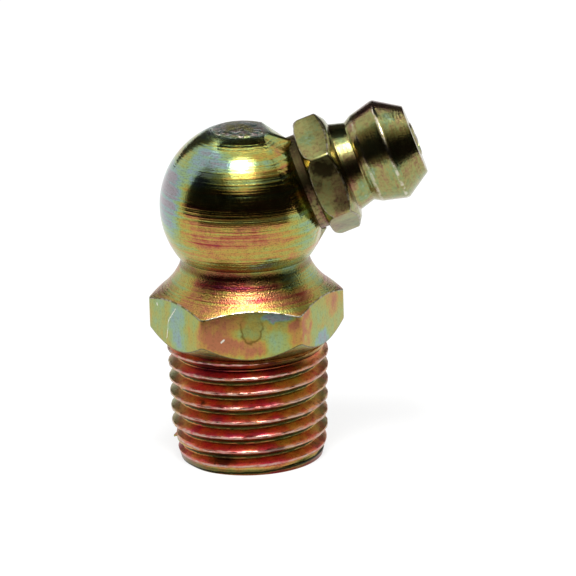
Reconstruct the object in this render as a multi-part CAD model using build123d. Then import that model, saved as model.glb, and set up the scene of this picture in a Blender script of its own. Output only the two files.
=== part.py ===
"""Angled grease nipple: a ball-ended body turned from hex bar, with a coupler head pressed into its side.

Millimetres. The origin is the centre of the shank's end face, +Z runs up the shank, and the nipple leans
towards +X. Pieces on the nipple's own axis are built about +Z and then laid on that axis: there, heights
are distances from the point where the nipple's axis crosses the shank's.
"""
from build123d import *
from math import atan, cos, degrees, pi, radians, sin, sqrt, tan
import os

os.makedirs("parts", exist_ok=True)

# ---- driving dimensions: angle body ---------------------------------------------------------------
body_bar_corner = 0.5           # radius on the corners of the hex bar that the body is turned from
hex_turn = 0.0                  # the hex's corner, turned from the nipple's direction, degrees

thread_major_end = 9.96         # over the crests, carried down to the end face
flats_over_thread = 1.04        # how much wider than that the hex is, across its flats
thread_taper = 1 / 16           # pipe taper, on the diameter
thread_pitch = 1.0
thread_angle = 60.0             # between the flanks
thread_crest_flat = 0.2
thread_start = 0.587            # height of the groove's middle where it begins
thread_start_turn = 60.0        # direction in which it begins, turned from +X, degrees
thread_end_land = 0.945         # from the groove's last middle to the top of the shank
shank_length = 7.74             # end face to the hex's underside chamfer
end_chamfer_length = 1.2
end_chamfer_depth = 0.3

hex_under_angle = 48.0          # underside chamfer of the hex, from the horizontal
hex_flat_height = 3.22          # of the middle of a flat
hex_top_angle = 30.0            # chamfer over the hex's corners, from the horizontal
flare_foot_angle = 42.0         # slope of the flare where it leaves the hex, from the horizontal
flare_height = 2.09

ball_radius = 5.39
neck_drop = 3.47                # from the ball's centre down to its neck
nub_radius = 1.85               # parting-off nub on top of the ball
nub_drop = 0.08                 # how far the nub's top lies below the true sphere
nub_step = 0.04                 # the groove round the nub
nub_blend_radius = 2.65         # where the true sphere begins

passage_radius = 1.75           # grease passage up the shank
passage_mouth_chamfer = 0.3
drill_point_angle = 118.0

# ---- driving dimensions: where the nipple sits ------------------------------------------------------
nipple_rise = 20.1              # the nipple's axis above the horizontal, degrees
cross_drop = 0.2                # its axis crosses the shank's this far below the ball's centre
spot_face = 4.15                # spot face from the crossing point, along the nipple's axis
spot_flat_radius = 3.15
spot_tool_radius = 4.7
spot_relief_angle = 36.7        # the cutter's relief outside its flat
socket_depth = 3.15             # below the spot face

# ---- driving dimensions: nipple head ----------------------------------------------------------------
head_across_flats = 7.0
head_bar_corner = 0.25
head_hex_turn = -3.5            # the small hex's corner, turned from straight up, degrees
plug_radius = 1.95              # the shank that is pressed into the socket
plug_length = 3.0
plug_chamfer = 0.25
collar_radius = 3.14
collar_height = 0.6
head_hex_height = 2.2
head_hex_under_chamfer = 0.5
head_hex_top_angle = 28.0
head_hex_top_radius = 3.05      # where the hex's top chamfer begins
neck_root_radius = 2.97
neck_waist_radius = 2.64
neck_length = 1.05
back_steep_radius = 2.95        # the steep part of the coupler head's back cone ends here
back_steep_length = 0.52
ridge_radius = 3.33
back_shallow_length = 1.47
ridge_land = 0.2                # short cylinder at the greatest diameter
nose_length = 1.65
nose_radius = 2.27              # end face
lip_radius = 1.15               # raised lip round the mouth
lip_height = 0.1

# ---- driving dimensions: valve -------------------------------------------------------------------------
check_radius = 1.19             # 3/32 in ball
check_proud = 0.17              # it stands this far out of the end face
mouth_radius = 0.95
seat_radius = 1.0               # radius of the circle on which the ball seats
seat_gap = 0.005
chamber_radius = 1.3
chamber_length = 4.3            # from the seat cone's wide end to the spring's step
tail_radius = 0.8               # passage through the press-in shank
wire_radius = 0.11              # of the hexagon that stands for the round wire
coil_radius = 0.82              # mean radius of the spring's coils
coil_turns = 3.0
spring_gap = 0.01               # at each end of the spring

cutter_margin = 0.3             # how far a tool runs past the metal it clears

# ---- worked out ------------------------------------------------------------------------------------------
body_across_flats = thread_major_end + flats_over_thread
apothem = body_across_flats / 2
end_face_radius = thread_major_end / 2 - end_chamfer_depth
thread_slope = thread_taper / 2
shank_top_radius = thread_major_end / 2 + thread_slope * shank_length
hex_face_low = shank_length + (apothem - shank_top_radius) * tan(radians(hex_under_angle))
hex_face_high = hex_face_low + hex_flat_height
neck_height = hex_face_high + flare_height
ball_height = neck_height + neck_drop
crossing = ball_height - cross_drop
rise = radians(nipple_rise)
nipple_plane = Plane(
    origin=(0, 0, crossing),
    x_dir=(-sin(rise), 0, cos(rise)),
    z_dir=(cos(rise), 0, sin(rise)),
)

collar_top = spot_face + collar_height
head_hex_top = collar_top + head_hex_height
neck_top = head_hex_top + neck_length
steep_top = neck_top + back_steep_length
ridge_low = steep_top + back_shallow_length
ridge_high = ridge_low + ridge_land
end_face = ridge_high + nose_length
lip_face = end_face + lip_height
plug_end = spot_face - plug_length
check_centre = end_face + check_proud - check_radius
seat_lead = sqrt(check_radius**2 - seat_radius**2)      # seat circle ahead of the ball's centre
seat_slope = seat_lead / seat_radius                    # radius gained for each mm back from the mouth
seat_circle = check_centre + seat_lead + seat_gap
mouth_edge = seat_circle + (seat_radius - mouth_radius) / seat_slope
seat_foot = seat_circle - (chamber_radius - seat_radius) / seat_slope
spring_step = seat_foot - chamber_length


def hex_bar(across_flats, corner_radius, turn, length):
    """A hex bar along +Z with rounded corners, one of them turned from +X by the angle given."""
    outline = RegularPolygon(across_flats / 2, 6, major_radius=False, rotation=turn)
    outline = fillet(outline.vertices(), corner_radius)
    return extrude(outline, length)


def turned(outline):
    """The solid of revolution about +Z of an outline of (radius, height) points."""
    return revolve(Plane.XZ * make_face(Polyline(*outline, close=True)), axis=Axis.Z)


def on_nipple_axis(solid):
    return nipple_plane.location * solid


def body_blank():
    """The body as turned, with the hex's flats still to come from the bar."""
    rim = apothem / cos(pi / 6) + cutter_margin
    under = tan(radians(hex_under_angle))
    top = tan(radians(hex_top_angle))
    foot = radians(flare_foot_angle)
    flat_top = (apothem, hex_face_high)
    neck = (sqrt(ball_radius**2 - neck_drop**2), neck_height)
    sphere_end = (nub_blend_radius, ball_height + sqrt(ball_radius**2 - nub_blend_radius**2))
    nub_foot = ball_height + sqrt(ball_radius**2 - nub_radius**2) - nub_drop
    nub_crown = ball_height + ball_radius - nub_drop
    with BuildPart() as blank:
        with BuildSketch(Plane.XZ):
            with BuildLine():
                Polyline(
                    (0, 0),
                    (end_face_radius, 0),
                    (thread_major_end / 2 + thread_slope * end_chamfer_length, end_chamfer_length),
                    (shank_top_radius, shank_length),
                    (rim, hex_face_low + (rim - apothem) * under),
                    (rim, hex_face_high - (rim - apothem) * top),
                    flat_top,
                )
                TangentArc(flat_top, neck, tangent=(-cos(foot), sin(foot)))
                ThreePointArc(neck, (ball_radius, ball_height), sphere_end)
                Polyline(
                    sphere_end,
                    (nub_radius, nub_foot - nub_step),
                    (nub_radius, nub_foot),
                    (nub_radius / 2, nub_crown),
                    (0, nub_crown),
                    (0, 0),
                )
            make_face()
        revolve(axis=Axis.Z)
    return blank.part


def thread_groove():
    """The thread's V, wound right-handed up the taper, widened past the crests so that it cuts clear."""
    flank = tan(radians(thread_angle / 2))
    crest_half = (thread_pitch - thread_crest_flat) / 2
    clear_half = thread_pitch / 2 - thread_crest_flat / 4
    clear_rise = (clear_half - crest_half) / flank
    start_radius = thread_major_end / 2 + thread_slope * thread_start
    run = shank_length - thread_start - thread_end_land
    winding = Helix(thread_pitch, run, start_radius, cone_angle=degrees(atan(thread_slope)))
    section = Plane(origin=winding @ 0, x_dir=(1, 0, 0), z_dir=(0, 1, 0)) * make_face(
        Polyline((-crest_half / flank, 0), (clear_rise, -clear_half), (clear_rise, clear_half), close=True)
    )
    groove = sweep(section, path=winding, is_frenet=True)
    return Pos(0, 0, thread_start) * Rot(0, 0, thread_start_turn) * groove


def angle_body():
    """The threaded body, spot-faced and bored for the nipple, with the passage drilled up its shank."""
    bar = hex_bar(body_across_flats, body_bar_corner, hex_turn, ball_height + 2 * ball_radius)
    relief = (spot_tool_radius - spot_flat_radius) * tan(radians(spot_relief_angle))
    clear = spot_face + 2 * ball_radius
    spot_cutter = turned([
        (0, spot_face),
        (spot_flat_radius, spot_face),
        (spot_tool_radius, spot_face - relief),
        (spot_tool_radius, clear),
        (0, clear),
    ])
    socket_floor = spot_face - socket_depth
    socket = turned([(0, socket_floor), (plug_radius, socket_floor), (plug_radius, clear), (0, clear)])
    passage = turned([
        (0, 0),
        (passage_radius + passage_mouth_chamfer, 0),
        (passage_radius, passage_mouth_chamfer),
        (passage_radius, crossing),
        (0, crossing + passage_radius / tan(radians(drill_point_angle / 2))),
    ])
    body = (body_blank() & bar) - on_nipple_axis(spot_cutter) - on_nipple_axis(socket) - passage
    return body - thread_groove()


def head_blank():
    """The nipple head as turned, with the small hex's flats still to come from the bar."""
    corner = head_across_flats / 2 / cos(pi / 6)
    rim = corner + cutter_margin
    chamfer_drop = (rim - head_hex_top_radius) * tan(radians(head_hex_top_angle))
    return turned([
        (0, plug_end),
        (plug_radius - plug_chamfer, plug_end),
        (plug_radius, plug_end + plug_chamfer),
        (plug_radius, spot_face),
        (collar_radius, spot_face),
        (collar_radius, collar_top),
        (corner - head_hex_under_chamfer, collar_top),
        (rim, collar_top + head_hex_under_chamfer + cutter_margin),
        (rim, head_hex_top - chamfer_drop),
        (head_hex_top_radius, head_hex_top),
        (neck_root_radius, head_hex_top),
        (neck_waist_radius, neck_top),
        (back_steep_radius, steep_top),
        (ridge_radius, ridge_low),
        (ridge_radius, ridge_high),
        (nose_radius, end_face),
        (lip_radius, end_face),
        (lip_radius - lip_height, lip_face),
        (0, lip_face),
    ])


def nipple_head():
    """The coupler head: turned and hexed, then bored for the ball, its seat and its spring."""
    bar = hex_bar(head_across_flats, head_bar_corner, head_hex_turn, lip_face - plug_end)
    bore = turned([
        (0, plug_end),
        (tail_radius, plug_end),
        (tail_radius, spring_step),
        (chamber_radius, spring_step),
        (chamber_radius, seat_foot),
        (mouth_radius, mouth_edge),
        (mouth_radius, lip_face),
        (0, lip_face),
    ])
    return on_nipple_axis((head_blank() & Pos(0, 0, plug_end) * bar) - bore)


def check_ball():
    return on_nipple_axis(Pos(0, 0, check_centre) * Sphere(check_radius))


def check_spring():
    """Open coil from the chamber's step to the back of the ball."""
    ball_lead = sqrt((check_radius + wire_radius + spring_gap) ** 2 - coil_radius**2)
    low = spring_step + wire_radius + spring_gap
    height = check_centre - ball_lead - low
    coil = Helix(height / coil_turns, height, coil_radius)
    section = Plane(origin=coil @ 0, z_dir=coil % 0) * RegularPolygon(wire_radius, 6)
    return on_nipple_axis(Pos(0, 0, low) * sweep(section, path=coil, is_frenet=True))


export_step(angle_body(), "parts/angle_body.step")
export_step(nipple_head(), "parts/nipple_head.step")
export_step(check_ball(), "parts/check_ball.step")
export_step(check_spring(), "parts/check_spring.step")
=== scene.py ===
# %% [markdown]
# # An angled grease nipple
# A grease nipple is a small one-way valve. Its threaded shank screws into a bearing, a grease gun's coupler
# grips the cone-shaped head, and a sprung ball inside lets grease in and keeps dirt out. This one is turned
# from steel hex bar, zinc plated and yellow chromated, which gives the shifting gold, green and red colours.
# The CAD model is loaded first as a fixed frame. Every visible piece is then made again over its solid, with
# the thread, worn edges and tool marks that the plain solids leave out.

# %% Load the frame
from math import atan2, cos, degrees, exp, hypot, pi, radians, remainder, sin, sqrt, tan

import bpy
from mathutils import Matrix, Vector, noise


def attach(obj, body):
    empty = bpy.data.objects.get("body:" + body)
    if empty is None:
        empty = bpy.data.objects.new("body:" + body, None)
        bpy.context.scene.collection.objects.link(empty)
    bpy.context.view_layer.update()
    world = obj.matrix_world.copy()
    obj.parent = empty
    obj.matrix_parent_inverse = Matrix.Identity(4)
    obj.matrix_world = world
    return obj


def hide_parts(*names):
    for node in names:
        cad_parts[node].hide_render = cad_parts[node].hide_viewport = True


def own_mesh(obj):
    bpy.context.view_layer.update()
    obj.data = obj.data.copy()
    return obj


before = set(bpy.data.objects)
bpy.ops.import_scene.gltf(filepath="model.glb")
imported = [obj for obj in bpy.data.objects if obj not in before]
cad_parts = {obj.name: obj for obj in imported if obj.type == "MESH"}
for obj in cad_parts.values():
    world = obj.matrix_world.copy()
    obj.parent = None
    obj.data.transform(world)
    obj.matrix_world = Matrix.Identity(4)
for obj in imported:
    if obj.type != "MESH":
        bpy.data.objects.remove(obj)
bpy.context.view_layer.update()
print("CAD nodes:", sorted(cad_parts))

# %% [markdown]
# ## Working size
# The whole fitting is 23 mm tall. Blender's merge and bevel steps are easier to judge in whole numbers, so
# each piece is modelled with one unit for one millimetre, and is scaled to metres when it is finished.

# %% Sizes of the fitting, in millimetres
MM = 0.001
columns = 240                   # steps in one turn of the lathe
hex_flats = 11.0                # across the big hex's flats
hex_corner = 0.5                # radius of its corners
thread_crest = 4.98             # radius over the crests at the end face
thread_slope = 1 / 32           # radius gained for each mm of height
pitch = 1.0
crest_start = 1.92              # height of a crest on the +X side
ball_centre, ball_radius = 16.829, 5.39
crossing = 16.629               # where the nipple's axis crosses the shank's
rise = radians(20.1)            # the nipple's axis above the horizontal
nipple_axis = Vector((cos(rise), 0, sin(rise)))
print("hex", hex_flats, "thread", 2 * thread_crest, "ball", 2 * ball_radius, "mm across")

# %% [markdown]
# Operators act on whatever is selected, and the frame leaves its own nodes selected. Small helpers therefore
# clear the selection or leave one piece in it, and another prints the size of a new piece.

# %% Select, report and blend
def deselect():
    bpy.ops.object.select_all(action="DESELECT")


def choose(piece):
    """Selects one piece alone and makes it the active one."""
    deselect()
    piece.select_set(True)
    bpy.context.view_layer.objects.active = piece


def report(piece):
    """Prints how many faces a piece has, and its size."""
    corners = [Vector(corner) for corner in piece.bound_box]
    size = [max(c[i] for c in corners) - min(c[i] for c in corners) for i in range(3)]
    print(piece.name, len(piece.data.polygons), "faces", [round(s, 3) for s in size])


def smooth_step(low, high, value):
    """0 below low, 1 above high, and an even S between them."""
    share = min(max((value - low) / (high - low), 0.0), 1.0)
    return share * share * (3 - 2 * share)


# %% [markdown]
# ## Turning a piece
# A lathe makes a shape from one outline spun about an axis, and so does this helper: it starts from a single
# vertex, extrudes it from point to point along the outline, and spins the line into a closed skin. Points on
# the axis meet in one, so the copies there are merged.

# %% Draw an outline, and a lathe to spin it
def drawn_outline(name, outline):
    """A line of edges in the XZ plane through (radius, height) points, left open in edit mode."""
    deselect()
    bpy.ops.mesh.primitive_plane_add(size=0.1)
    piece = bpy.context.object
    piece.name = name
    bpy.ops.object.mode_set(mode="EDIT")
    bpy.ops.mesh.select_mode(type="VERT")
    bpy.ops.mesh.select_all(action="SELECT")
    bpy.ops.mesh.merge(type="CENTER")
    radius, height = outline[0]
    bpy.ops.transform.translate(value=(radius, 0, height))
    for next_radius, next_height in outline[1:]:
        step = (next_radius - radius, 0, next_height - height)
        bpy.ops.mesh.extrude_vertices_move(TRANSFORM_OT_translate={"value": step})
        radius, height = next_radius, next_height
    return piece


def turned_piece(name, outline, steps):
    """A closed solid of revolution about Z, from (radius, height) points that run from axis to axis."""
    piece = drawn_outline(name, outline)
    bpy.ops.mesh.select_all(action="SELECT")
    bpy.ops.mesh.spin(steps=steps, angle=2 * pi, center=(0, 0, 0), axis=(0, 0, 1))
    bpy.ops.mesh.select_all(action="SELECT")
    bpy.ops.mesh.remove_doubles(threshold=0.0005)
    bpy.ops.mesh.normals_make_consistent(inside=False)
    bpy.ops.object.mode_set(mode="OBJECT")
    return piece


def arc(centre_height, radius, low_angle, high_angle, points):
    """Outline points on a circle about the axis, from one angle of elevation to another, in degrees."""
    angles = [radians(low_angle + (high_angle - low_angle) * i / points) for i in range(points + 1)]
    return [(radius * cos(a), centre_height + radius * sin(a)) for a in angles]


def line(start, end, points):
    """Outline points on a straight run, without its last one."""
    return [tuple(a + (b - a) * i / points for a, b in zip(start, end)) for i in range(points)]


# %% [markdown]
# ## A hex from a round bar
# The turned skin has its rings of vertices at fixed heights. Two of those rings become the lower and upper
# edge of the hex: each vertex is pulled outwards until it reaches the bar's flats, and up or down along the
# chamfer that the lathe tool cut. Columns are drawn together at the corners, which are only half a
# millimetre round, so that they stay smooth.

# %% Pull the corners of a hex out of a turned skin
same_height = 0.003             # mm, within which a vertex counts as on a ring


def hex_side(angle, flats, corner, turn):
    """Where a direction (radians) falls on its side of the hex, and the round corner's centre and end."""
    off = (angle - turn + pi / 6) % (pi / 3) - pi / 6
    centre = (flats / 2 - corner) / cos(pi / 6)
    return off, centre, atan2(corner * sin(pi / 6), centre + corner * cos(pi / 6))


def hex_radius(angle, flats, corner, turn):
    """Distance from the axis to a rounded hex, in a direction."""
    off, centre, tangent = hex_side(angle, flats, corner, turn)
    if abs(off) >= tangent:
        return flats / 2 / cos(pi / 6 - abs(off))
    return centre * cos(off) + sqrt(corner ** 2 - (centre * sin(off)) ** 2)


def crowded(angle, flats, corner, turn):
    """The angle of a column after a quarter of each side's columns are drawn into the round corners."""
    off, _, tangent = hex_side(angle, flats, corner, turn)
    share = 2 * pi / columns * round(columns / 48)
    if abs(off) <= share:
        return angle - off + off * tangent / share
    side = tangent + (abs(off) - share) * (pi / 6 - tangent) / (pi / 6 - share)
    return angle - off + (side if off > 0 else -side)


def pull_hex(piece, low, high, flats, corner, turn, low_height, high_height):
    """Gives a turned skin a hex between two of its rings. The heights are functions of the radius there."""
    for vertex in piece.data.vertices:
        x, y, z = vertex.co
        ring = low if abs(z - low) < same_height else high if abs(z - high) < same_height else None
        if ring is None or hypot(x, y) < flats * 0.45:
            continue
        angle = crowded(atan2(y, x), flats, corner, turn)
        radius = hex_radius(angle, flats, corner, turn)
        height = low_height(radius) if ring == low else high_height(radius)
        vertex.co = (radius * cos(angle), radius * sin(angle), height)


print("over the big hex's corners:", round(2 * hex_radius(0, hex_flats, hex_corner, 0), 3), "mm")

# %% [markdown]
# ## The body above the thread
# One outline runs from inside the shank, over the run-out of the thread and the hex, up the hollow flare, over
# the ball and onto the small nub where the piece was parted off the bar. The nub keeps a groove round it.

# %% Turn the upper body
apothem = hex_flats / 2
flat_low, flat_high = 8.049, 11.269
under_angle, top_angle = radians(48), radians(30)
run_out = [(0, 6.9), (4.5, 7.1), (4.7, 7.3), (4.86, 7.5), (4.94, 7.7), (4.97, 7.8), (5.03, 7.86), (5.2, 7.92)]
flare = [(5.35, 11.41), (5.11, 11.65), (4.84, 11.95), (4.62, 12.25), (4.42, 12.57),
         (4.27, 12.87), (4.185, 13.12), (4.16, 13.3), (4.19, 13.48)]
parting_nub = [(2.35, 21.68), (2.05, 21.76), (1.9, 21.80), (1.86, 21.85), (1.8, 21.89),
               (1.5, 21.96), (1.0, 22.05), (0.5, 22.12), (0, 22.14)]


def under_chamfer(radius):
    return flat_low + (radius - apothem) * tan(under_angle)


def top_chamfer(radius):
    return flat_high - (radius - apothem) * tan(top_angle)


body = turned_piece("threaded_body", run_out + [(apothem, flat_low), (apothem, flat_high)] + flare
                    + arc(ball_centre, ball_radius, -37.2, 60.6, 56) + parting_nub, columns)
pull_hex(body, flat_low, flat_high, hex_flats, hex_corner, 0.0, under_chamfer, top_chamfer)
report(body)

# %% [markdown]
# A real edge is never perfectly sharp, and where each chamfer meets the flats the plating has worn bright.
# Both rings of hex edges get a narrow bevel, whose faces take a second material slot for bare zinc and a
# painted highlight. A ring is found by its height, in code, because nobody is there to pick it.

# %% Break the hex edges
worn_slot = 1


def add_slots(piece, count):
    """Fills the material slots up to a count with stand-ins, until the finishes are made."""
    while len(piece.data.materials) < count:
        piece.data.materials.append(bpy.data.materials.new("stand_in"))


def ring_edges(piece, test):
    """Selects the edges whose ends are on the same ring. The test names a point's ring or gives None."""
    bpy.context.view_layer.objects.active = piece
    bpy.ops.object.mode_set(mode="EDIT")
    bpy.ops.mesh.select_mode(type="EDGE")
    bpy.ops.mesh.select_all(action="DESELECT")
    bpy.ops.object.mode_set(mode="OBJECT")
    ring = [test(v.co) for v in piece.data.vertices]
    for edge in piece.data.edges:
        start, end = edge.vertices
        edge.select = ring[start] is not None and ring[start] == ring[end]
    bpy.ops.object.mode_set(mode="EDIT")


def break_hex_edges(piece, inner_radius, low_height, high_height, width):
    """Bevels the edges where a hex meets its chamfers, and gives the new faces the worn slot."""
    def ring_of(co):
        radius = hypot(co.x, co.y)
        if radius < inner_radius:
            return None
        top = abs(co.z - high_height(radius)) < same_height
        under = abs(co.z - low_height(radius)) < same_height
        return "top" if top else "under" if under else None

    ring_edges(piece, ring_of)
    bpy.ops.mesh.bevel(offset=width, segments=2, profile=0.6, material=worn_slot)
    bpy.ops.object.mode_set(mode="OBJECT")


add_slots(body, 2)
break_hex_edges(body, apothem - 0.01, under_chamfer, top_chamfer, 0.06)
report(body)

# %% [markdown]
# ## The thread
# The shank has an M10 x 1 taper thread. Blender's Screw modifier winds the outline of one tooth up the shank,
# one pitch a turn, as the die did. The taper, the run-out under the hex and the chamfer at the end are then
# pressed into the wound skin, and the crests are made as ragged as a fast die leaves them.

# %% Wind one tooth up the shank
lower_side = [(-0.61, 0.0), (-0.605, 0.055), (-0.575, 0.1), (-0.42, 0.19), (-0.25, 0.288), (-0.1, 0.375),
              (-0.035, 0.415), (-0.006, 0.448)]
tooth = lower_side + [(0.0, 0.5)] + [(out, 1 - up) for out, up in reversed(lower_side)]
thread_turns = 10
first_root = crest_start - 0.5 - 3         # it starts three turns low, and the end is cut off square below


def wind_up(piece, lift, turns, steps):
    """Winds the active piece up about Z, with so much lift and so many steps a turn."""
    wind = piece.modifiers.new("wind", "SCREW")
    wind.axis, wind.angle = "Z", 2 * pi
    wind.screw_offset, wind.iterations = lift, turns
    wind.steps = wind.render_steps = steps
    wind.use_merge_vertices = False
    bpy.ops.object.modifier_apply(modifier=wind.name)


thread = drawn_outline("thread", [(thread_crest + out, first_root + up) for out, up in tooth])
bpy.ops.object.mode_set(mode="OBJECT")
wind_up(thread, pitch, thread_turns, columns)
bpy.ops.object.mode_set(mode="EDIT")
bpy.ops.mesh.select_all(action="SELECT")
bpy.ops.mesh.remove_doubles(threshold=0.002)
bpy.ops.object.mode_set(mode="OBJECT")
report(thread)

# %% [markdown]
# The raw thread is a plain cylinder of teeth. On the crests alone, each vertex now moves in or out by small
# uneven tears. One side of the last turn is torn away, and a burr stands out where the tear begins.

# %% Tear the crests
tear_depth = 0.26                          # of the turn that is torn away, in mm
burr_height, burr_turn, burr_level = 0.24, radians(178), 1.41
burr_width = 0.026                         # radians round the shank


def torn_crest(co):
    """Radius and height of a point once the crests are torn, and how deep the last turn is torn there."""
    radius, z = hypot(co.x, co.y), co.z
    crest = smooth_step(0.14, 0.02, thread_crest - radius)
    spot = Vector((co.x, co.y, z * 2.5))   # the factors below are grains per mm
    tear = 0.030 * noise.noise(spot * 1.3) + 0.034 * noise.noise(spot * 3.7)
    tear += 0.05 * max(0.0, noise.noise(spot * 2.1 + Vector((7, 3, 1))) - 0.28)
    z += crest * (0.035 * noise.noise(spot * 1.1 + Vector((2, 9, 4))) + 0.012 * noise.noise(spot * 4.0))
    away = abs(remainder(atan2(co.y, co.x) - burr_turn, 2 * pi))
    burr = crest * exp(-((away / burr_width) ** 2)) * smooth_step(0.2, 0.05, abs(z - burr_level))
    torn = tear_depth * smooth_step(1.0, 0.5, away) * smooth_step(1.95, 1.75, z)
    return min(radius + crest * tear, thread_crest - torn) + burr_height * burr, z - 0.12 * burr, torn


print("deepest tear of a crest:", round(thread_crest - min(
    torn_crest(Vector((thread_crest * cos(a / 9), thread_crest * sin(a / 9), 4.0)))[0] for a in range(57)), 3))

# %% [markdown]
# Every vertex then follows the taper, a cone at the lead-in chamfer, and the run-out near the hex, where the
# groove grows shallow and ends in a plain neck. Two bisect cuts square off the ends.

# %% Shape the thread's ends
end_face_radius, lead_in = 4.68, 1.2       # the chamfer runs from this radius over this height
groove_left = 0.16                         # depth of the groove where it runs out
neck_radius, thread_top = 4.9, 7.87


def shaped_thread_point(co):
    """A point of the wound thread after the tears, the taper, the lead-in chamfer and the run-out."""
    radius, z, torn = torn_crest(co)
    radius += z * thread_slope
    crest_radius = thread_crest + z * thread_slope
    if z < lead_in:
        widest = thread_crest + lead_in * thread_slope
        cone = end_face_radius + (widest - end_face_radius) * z / lead_in - 0.6 * torn
        floor_radius = cone - 0.012
        radius = floor_radius + (min(radius, cone) - floor_radius) * smooth_step(0.34, 0.62, z)
    radius += max(0.0, crest_radius - groove_left - radius) * smooth_step(6.9, 7.7, z)
    radius += (neck_radius - radius) * smooth_step(7.68, 7.84, z)
    angle = atan2(co.y, co.x)
    return Vector((radius * cos(angle), radius * sin(angle), z))


for vertex in thread.data.vertices:
    vertex.co = shaped_thread_point(vertex.co)
bpy.ops.object.mode_set(mode="EDIT")
for height, outer_side in ((0, False), (thread_top, True)):
    bpy.ops.mesh.select_all(action="SELECT")
    bpy.ops.mesh.bisect(plane_co=(0, 0, height), plane_no=(0, 0, 1), use_fill=True,
                        clear_inner=not outer_side, clear_outer=outer_side)
bpy.ops.mesh.select_all(action="SELECT")
bpy.ops.mesh.normals_make_consistent(inside=False)
bpy.ops.object.mode_set(mode="OBJECT")
report(thread)

# %% [markdown]
# ## One solid body
# A Boolean union joins the thread and the upper body, which overlap inside the run-out. Two more Booleans cut
# the nipple's flat seat and its socket into the ball's side. The cutters are turned upright and then laid
# over, because the nipple's axis rises 20 degrees.

# %% Join the thread to the body and cut the nipple's seat
def lay_on_nipple_axis(piece):
    """Turns a piece that was made about Z onto the nipple's own axis, and keeps the turn in its mesh."""
    piece.matrix_world = Matrix(((-sin(rise), 0, cos(rise), 0), (0, -1, 0, 0),
                                 (cos(rise), 0, sin(rise), crossing), (0, 0, 0, 1)))
    choose(piece)
    bpy.ops.object.transform_apply(location=True, rotation=True, scale=True)


def combine(piece, other, operation):
    """Joins or cuts a piece with another, which is used up."""
    step = piece.modifiers.new(operation, "BOOLEAN")
    step.operation = operation
    step.solver = "MANIFOLD"
    step.object = other
    choose(piece)
    bpy.ops.object.modifier_apply(modifier=step.name)
    bpy.data.objects.remove(other)


combine(body, thread, "UNION")
report(body)
spot_face, spot_radius, spot_slope = 4.15, 3.15, 1.155 / 1.55     # the flat seat, and the cone round it
seat_outline = [(0, spot_face), (spot_radius, spot_face), (4.7, spot_face - (4.7 - spot_radius) * spot_slope),
                (4.7, 15), (0, 15)]
socket_outline = [(0, 1.0), (1.95, 1.0), (1.95, 8), (0, 8)]
for name, outline, steps in (("seat_cutter", seat_outline, 160), ("socket_cutter", socket_outline, 64)):
    cutter = turned_piece(name, outline, steps)
    lay_on_nipple_axis(cutter)
    combine(body, cutter, "DIFFERENCE")
report(body)

# %% [markdown]
# A spot-facing cutter drags metal over the edge it leaves. The lip that it left on the ball is pulled out by
# uneven amounts, and two thin fins stand up where the cutter ran out of the round.

# %% Tear the lip of the seat, and drill the grease passage
seat_fins = [((4.98, -0.4, 15.1), 0.3), ((2.85, -0.7, 20.9), 0.35)]     # place and height
fin_reach = 0.45
touching = 0.02


def ragged_lip(co):
    """A point of the seat's edges after the tears. Any other point stays."""
    from_centre = co - Vector((0, 0, ball_centre))
    seat = co - Vector((0, 0, crossing))
    along = seat.dot(nipple_axis)
    aside = seat - nipple_axis * along
    out = aside.length
    if abs(along - spot_face) < touching and abs(out - spot_radius) < touching:
        fin = sum(height * exp(-((co - Vector(place)).length / fin_reach) ** 2) for place, height in seat_fins)
        return co + (nipple_axis + aside / out * 0.4) * fin
    cone = spot_face - (out - spot_radius) * spot_slope
    on_cone = abs(along - cone) < touching and out > spot_radius + 0.05
    if not on_cone or abs(from_centre.length - ball_radius) > touching:
        return co
    push = max(0.0, 0.015 + 0.04 * noise.noise(co * 1.9) + 0.02 * noise.noise(co * 5.3))
    return co + (from_centre.normalized() * 0.8 + nipple_axis * 0.5) * push


moved = 0
for vertex in body.data.vertices:
    placed = ragged_lip(vertex.co)
    moved += placed != vertex.co
    vertex.co = placed
print("lip vertices:", moved)
bore, drill_point = 1.75, radians(59)
passage_cutter = turned_piece("passage_cutter", [(0, -1), (3.05, -1), (bore, 0.3), (bore, crossing),
                                                 (0, crossing + bore / tan(drill_point))], 64)
combine(body, passage_cutter, "DIFFERENCE")
report(body)

# %% [markdown]
# ## The coupler head
# The nipple is turned from 7 mm hex bar in the same way: a collar that beds on the ball's flat, a thin hex
# for the spanner, a waist, and the cone-shaped head behind which a grease gun's jaws close. It is modelled
# upright, with heights measured from the point where its axis crosses the shank's, and then laid over.

# %% Turn the coupler head
head_flats, head_corner, head_turn = 7.0, 0.25, radians(-3.5)
small_low, small_high = 5.05, 6.82
press_fit = [(0, 1.15), (1.7, 1.15), (1.95, 1.4), (1.95, 4.15)]
collar = [(3.1, 4.15), (3.14, 4.19), (3.14, 4.71), (3.17, 4.75), (3.3, 4.755), (3.4, 4.78), (3.49, 4.83)]
small_hex = [(head_flats / 2, small_low), (head_flats / 2, small_high), (3.35, 6.86), (3.05, 6.95)]
waist = [(2.97, 6.97), (2.93, 7.0)] + line((2.915, 7.05), (2.66, 7.94), 8) + [(2.655, 7.97), (2.665, 8.01)]
back_cone = [(2.69, 8.05), (2.92, 8.45), (2.945, 8.51), (2.96, 8.56)] + line((2.972, 8.62), (3.31, 9.93), 5)
ridge = [(3.312, 9.94), (3.328, 9.99), (3.33, 10.04), (3.33, 10.12), (3.322, 10.18), (3.30, 10.23)]
front_cone = line((3.28, 10.26), (2.31, 11.76), 8) + [(2.295, 11.79), (2.262, 11.825), (2.21, 11.84)]
mouth = [(1.6, 11.84), (1.18, 11.84), (1.15, 11.85), (1.06, 11.93), (1.03, 11.94), (0.98, 11.94),
         (0.955, 11.93), (0.95, 11.91), (0.95, 11.548)]
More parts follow.
